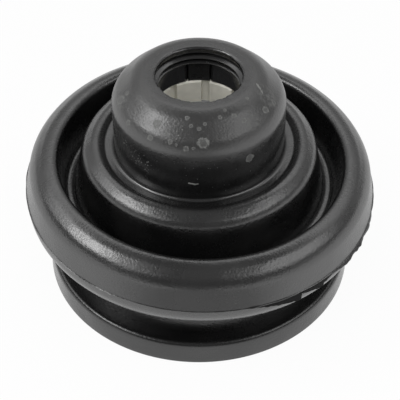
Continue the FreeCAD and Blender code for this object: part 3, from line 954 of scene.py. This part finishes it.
class BOOT_OT_folds(bpy.types.Operator):
    """Skins of the two folds and the valleys, each across one flex line"""

    bl_idname = "boot.folds"
    bl_label = "Folds"

    def execute(self, context):
        s = sizes()
        c = skin_corners()
        finish = rubber("fold_rubber")
        slope = between(c[4], c[5], 0.5)
        valley = between(c[7], c[8], 0.5)
        leg = at_height(c[8], c[9], LEG_SEAM)
        inner_valley = between(c[12], c[13], 0.5)
        skins = (
            ("lobe_underside_skin", wall_section(c[0], 1, 2, c[3]),
             "large_end", "outer_lobe", (c[0][1], UNDERSIDE_FLEX_END), ("lobe_underside", "lobe_side")),
            ("lobe_side_skin", wall_section(c[3], 4, 4, slope),
             "outer_lobe", "outer_fold", SHOULDER_FLEX, ("lobe_shoulder",)),
            ("outer_crest_skin", wall_section(slope, 5, 7, valley),
             "outer_fold", "outer_valley", OUTER_LEG_FLEX,
             ("outer_crest", "outer_valley_wall", "valley_floor")),
            ("small_fold_wall", wall_section(valley, 8, 8, leg),
             "outer_valley", "inner_wall", INNER_LEG_FLEX, ("inner_lobe_skirt", "inner_lobe_wall")),
            ("small_fold_skin", wall_section(leg, 9, 12, inner_valley),
             "inner_wall", "inner_lobe", SMALL_FOLD_FLEX, ("inner_lobe_shoulder", "inner_crest")),
        )
        for name, section, below, above, flex, nodes in skins:
            piece = turned(name, section, finish)
            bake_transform(piece)
            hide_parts(*nodes)
        return {"FINISHED"}


# Torn stretches of the flash: azimuths of both ends, how far it stands out and how far it droops in mm
TORN_FLASH = ((236.5, 244.0, 0.40, 0.2), (284.0, 289.0, 0.30, 0.0), (314.0, 346.0, 0.55, 0.8))
FLASH_REACH = 0.22 * MM
FLASH_STEPS = 1080
FLAP_STEPS = 40
FLAP_LENGTH = 3.9 * MM


def flash_section():
    """Outline of the flash, a thin lip that the mould's two halves left."""
    s = sizes()
    root = s.lobe_radius - 0.4 * MM
    edge = s.lobe_radius + FLASH_REACH
    return [
        (root, s.parting - 0.55 * MM, 0),
        (s.lobe_radius + 0.02 * MM, s.parting - 0.42 * MM, 0),
        (edge, s.parting - 0.30 * MM, 0),
        (edge, s.parting - 0.16 * MM, 0),
        (s.lobe_radius + 0.02 * MM, s.parting - 0.04 * MM, 0),
        (root, s.parting, 0),
    ]


def tear_flash(piece):
    """Makes the lip uneven, and wide and ragged where it is torn."""
    edge = sizes().lobe_radius + 0.1 * MM
    for v in piece.data.vertices:
        radius = math.hypot(v.co.x, v.co.y)
        if radius > edge:
            turn = math.degrees(math.atan2(v.co.y, v.co.x)) % 360
            spot = Vector((v.co.x, v.co.y, 0))
            ragged = noise.noise(spot / (6 * MM)) + 0.4 * noise.noise(spot / (1.7 * MM))
            reach = FLASH_REACH * (1 + 0.6 * ragged)
            for start, end, stand, droop in TORN_FLASH:
                share = eased(turn, start, start + 2) * eased(turn, end, end - 2)
                reach += share * stand * MM * (0.8 + 1.1 * ragged)
                v.co.z -= share * droop * MM * (0.9 + 0.5 * ragged)
            wanted = sizes().lobe_radius + max(reach, 0.05 * MM)
            v.co.x *= wanted / radius
            v.co.y *= wanted / radius


def flap_section():
    """Outline of a strip of torn flash that hangs down from the parting line."""
    s = sizes()
    foot = s.parting - FLAP_LENGTH
    return [
        (s.lobe_radius - 0.35 * MM, s.parting - 0.35 * MM, 0),
        (s.lobe_radius - 0.20 * MM, foot, 0),
        (s.lobe_radius + 0.16 * MM, foot, 0),
        (s.lobe_radius + 0.24 * MM, s.parting - 0.45 * MM, 0),
    ]


def tear_flap(piece, start, end, high, low):
    """Trims a hanging strip between two depths, from 0 to 1, with a ragged foot."""
    top = sizes().parting - 0.35 * MM
    for v in piece.data.vertices:
        if v.co.z < top:
            turn = math.degrees(math.atan2(v.co.y, v.co.x)) % 360
            share = (turn - start) / (end - start)
            depth = high + (low - high) * share + 0.10 * noise.noise(Vector((turn / 1.3, 0, 0)))
            v.co.z = top - (top - v.co.z) * max(depth, 0.02)


# Torn strips: azimuths of both ends and their depths there, as shares of the longest
FLAPS = ((287.0, 302.5, 0.08, 0.92), (302.9, 311.5, 0.30, 0.85), (311.0, 316.0, 0.55, 0.20))


class BOOT_OT_flash(bpy.types.Operator):
    """Flash along the parting line of the large fold, with its torn strips"""

    bl_idname = "boot.flash"
    bl_label = "Flash"

    def execute(self, context):
        finish = rubber("flash_rubber")
        torn = torn_rubber()
        lip = turn_outline(draw_outline("parting_flash", flash_section()), FLASH_STEPS)
        tear_flash(smooth(lip))
        lip.data.materials.append(finish)
        pieces = [lip]
        for i, (start, end, high, low) in enumerate(FLAPS):
            flap = turn_part(f"torn_strip_{i + 1}", flap_section(), start, end, FLAP_STEPS, torn)
            tear_flap(flap, start, end, high, low)
            pieces.append(flap)
        for piece in pieces:
            settle(piece)
            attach(piece, "outer_lobe")
        return {"FINISHED"}


class BOOT_OT_neck(bpy.types.Operator):
    """Neck, dome, mouth, wiper lips and the key in the ring's gap"""

    bl_idname = "boot.neck"
    bl_label = "Neck and dome"

    def execute(self, context):
        finish = rubber("neck_rubber", 0.03, HAZE_HEIGHT, dried_soil, ior=1.95)
        foot = turned("neck_foot_skin", neck_foot_section(), finish)
        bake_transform(foot)
        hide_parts("neck_root")
        dull = rubber("key_rubber", ior=1.35)
        key = turn_part("ring_key", key_section(), KEY_START, KEY_END, KEY_STEPS, dull)
        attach(key, "neck")
        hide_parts("neck_dome")
        dome = turned("dome_skin", dome_section(), finish)
        wear_mouth(dome)
        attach(dome, "neck")
        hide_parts("neck_collar", "neck_dome")
        return {"FINISHED"}


class BOOT_OT_sleeves(bpy.types.Operator):
    """Finishes of the split ring and the guide bush"""

    bl_idname = "boot.sleeves"
    bl_label = "Ring and bush"

    def execute(self, context):
        for node, material in (("split_ring", gloss_plastic()), ("guide_bush", ivory_plastic())):
            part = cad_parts[node]
            part.data.materials.clear()
            part.data.materials.append(material)
        return {"FINISHED"}


class BOOT_PT_panel(bpy.types.Panel):
    """Sizes, colours and the steps that build the boot"""

    bl_label = "Bellows Boot"
    bl_idname = "BOOT_PT_panel"
    bl_space_type = "VIEW_3D"
    bl_region_type = "UI"
    bl_category = "Boot"

    def draw(self, context):
        layout = self.layout
        for group in (context.scene.boot_sizes, context.scene.boot_colours):
            box = layout.box()
            for key in group.bl_rna.properties.keys():
                if key not in ("rna_type", "name"):
                    box.prop(group, key)
        for operator in OPERATORS:
            layout.operator(operator.bl_idname)


OPERATORS = (BOOT_OT_stage, BOOT_OT_base, BOOT_OT_folds, BOOT_OT_flash, BOOT_OT_neck, BOOT_OT_sleeves)
CLASSES = (BootSizes, BootColours) + OPERATORS + (BOOT_PT_panel,)


def register():
    """Registers the classes and the scene's properties."""
    for cls in CLASSES:
        bpy.utils.register_class(cls)
    bpy.types.Scene.boot_sizes = PointerProperty(type=BootSizes)
    bpy.types.Scene.boot_colours = PointerProperty(type=BootColours)


def unregister():
    """Removes what register added."""
    del bpy.types.Scene.boot_colours
    del bpy.types.Scene.boot_sizes
    for cls in reversed(CLASSES):
        bpy.utils.unregister_class(cls)


def main():
    """Registers the sizes and colours, and builds the stage and every piece."""
    register()
    bpy.ops.boot.stage()
    bpy.ops.boot.base()
    bpy.ops.boot.folds()
    bpy.ops.boot.flash()
    bpy.ops.boot.neck()
    bpy.ops.boot.sleeves()
    nothing_selected()


if __name__ == "__main__":
    main()
